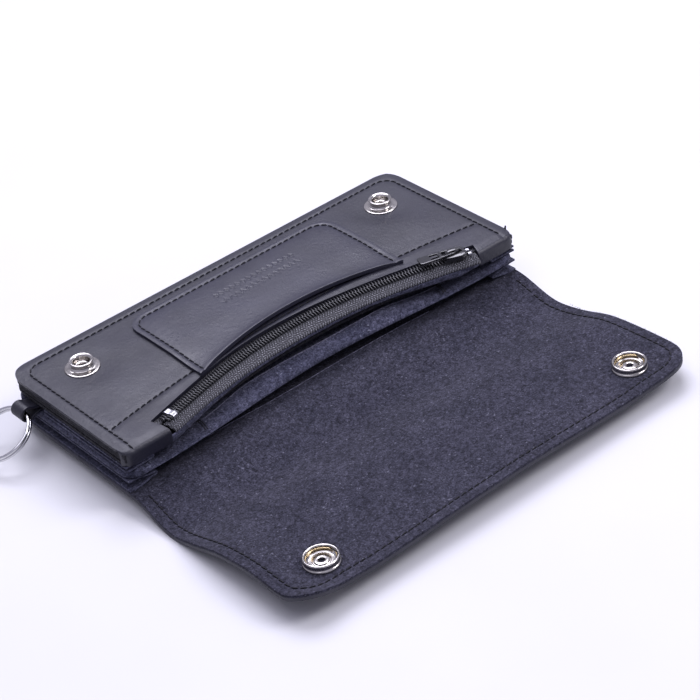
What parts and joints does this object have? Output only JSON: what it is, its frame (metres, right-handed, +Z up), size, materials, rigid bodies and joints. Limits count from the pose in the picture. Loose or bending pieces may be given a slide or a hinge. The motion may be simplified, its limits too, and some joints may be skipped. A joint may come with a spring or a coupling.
{
  "type": "chain wallet",
  "caption": "Long leather snap wallet with a fold-over flap, note compartments, a zip pocket, a slip pocket and a ring for a chain.",
  "frame": {"origin": "on the underside of the back cover, midway along the wallet and in line with the front ends of the zip pocket", "axes": "+X along the long side, away from the corner with the ring; +Y from the flap towards the rear edge; +Z up, out of the back cover"},
  "size_m": [0.2096, 0.168, 0.0234],
  "materials": {
    "grain_leather": "smooth black grain leather, low sheen",
    "suede_lining": "black split leather, suede side up",
    "split_leather": "dark navy-black split leather, matt",
    "thread": "black bonded thread",
    "zip_tape": "black woven zip tape with grey flecks",
    "zip_coil": "black nylon coil",
    "zip_metal": "gloss black enamelled metal",
    "stop_metal": "bright clamped metal",
    "nickel": "polished nickel plate",
    "spring_brass": "bright brass wire",
    "ring_steel": "polished nickel-plated steel"
  },
  "bodies": {
    "body": {"cover_back": "grain_leather", "zip_pocket_top": "grain_leather", "slip_pocket": "grain_leather", "ring_tab": "grain_leather", "back_lining": "suede_lining", "divider": "split_leather", "zip_pocket_base": "split_leather", "lower_gusset_left": "split_leather", "lower_gusset_right": "split_leather", "lower_gusset_rear": "split_leather", "upper_gusset_left": "split_leather", "upper_gusset_right": "split_leather", "upper_gusset_rear": "split_leather", "top_thread": "thread", "slip_pocket_thread": "thread", "zip_thread_left": "thread", "zip_thread_middle": "thread", "zip_thread_right": "thread", "zip_tape_rear": "zip_tape", "zip_tape_front": "zip_tape", "zip_teeth_rear": "zip_coil", "zip_teeth_front": "zip_coil", "zip_bottom_stop": "stop_metal", "zip_top_stops": "stop_metal", "snap_stud_left": "nickel", "snap_stud_right": "nickel", "stud_post_left": "nickel", "stud_post_right": "nickel"},
    "spine": {"spine_cover": "grain_leather", "spine_lining": "suede_lining", "spine_thread": "thread"},
    "flap": {"flap_cover": "grain_leather", "flap_lining": "suede_lining", "flap_thread": "thread", "snap_socket_left": "nickel", "snap_socket_right": "nickel", "snap_cap_left": "nickel", "snap_cap_right": "nickel", "snap_spring_left": "spring_brass", "snap_spring_right": "spring_brass"},
    "slider": {"zip_slider": "zip_metal"},
    "puller": {"zip_puller": "zip_metal"},
    "ring": {"split_ring": "ring_steel"}
  },
  "joints": [
    {"name": "spine_fold", "type": "hinge", "parent": "body", "child": "spine", "pos_m": [0, -0.0024, 0.0024], "axis": [-1, 0, 0], "range_deg": [0, 90]},
    {"name": "flap_fold", "type": "hinge", "parent": "spine", "child": "flap", "pos_m": [0, -0.024, 0.0024], "axis": [-1, 0, 0], "range_deg": [0, 87.67]},
    {"name": "zip_travel", "type": "hinge", "parent": "body", "child": "slider", "pos_m": [-0.0032, -0.2216, 0.019], "axis": [0, 0, 1], "range_deg": [0, 31.2]},
    {"name": "puller_flip", "type": "hinge", "parent": "slider", "child": "puller", "pos_m": [0.06636, 0.00517, 0.0218], "axis": [0.2933, 0.956, 0], "range_deg": [0, 180]},
    {"name": "ring_swing", "type": "hinge", "parent": "body", "child": "ring", "pos_m": [-0.0965, 0.06, 0.0111], "axis": [0, 1, 0], "range_deg": [-39, 115]}
  ]
}
